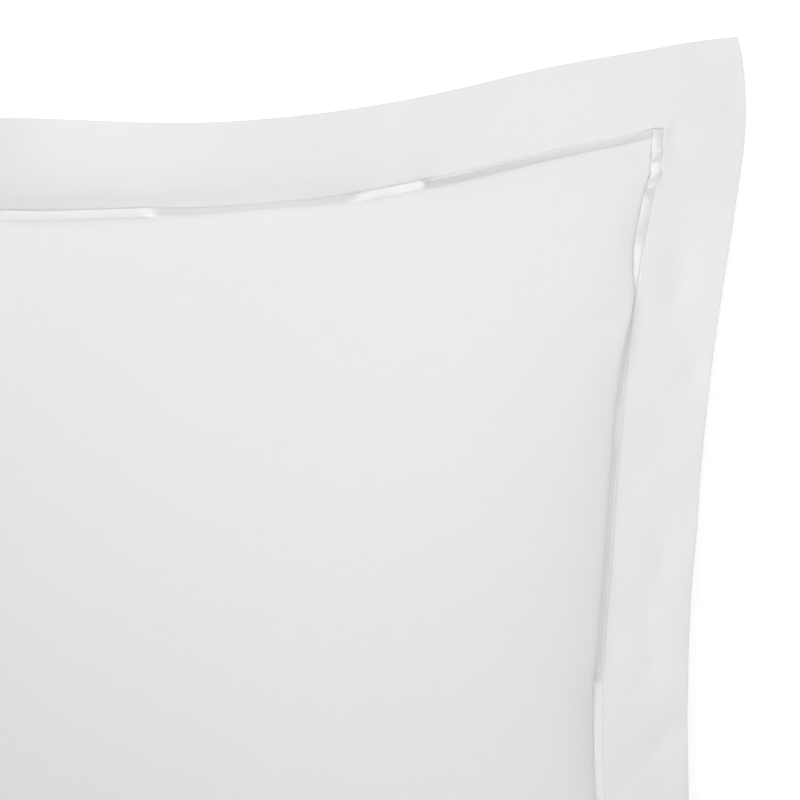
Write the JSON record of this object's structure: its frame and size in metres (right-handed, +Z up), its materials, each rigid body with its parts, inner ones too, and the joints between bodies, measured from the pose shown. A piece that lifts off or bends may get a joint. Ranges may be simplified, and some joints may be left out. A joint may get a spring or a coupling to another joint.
{
  "type": "filled square pillowcase with a flat flange",
  "caption": "Square white pillowcase, filled and lying on its back, with a flat flange all round and a narrow satin band along the seam.",
  "frame": {"origin": "middle of the underside's box, on the surface that the case lies on", "axes": "+Z up through the crown, +Y towards the top side of the case, +X towards its right side seen from above"},
  "size_m": [0.7278, 0.7308, 0.165],
  "materials": {
    "percale": "white cotton percale, matt, fine plain weave",
    "satin": "white satin band, glossy threads across its width"
  },
  "bodies": {
    "root": {"Case": "percale", "BandTop": "satin", "BandRight": "satin", "BandBottom": "satin", "BandLeft": "satin"}
  },
  "joints": []
}
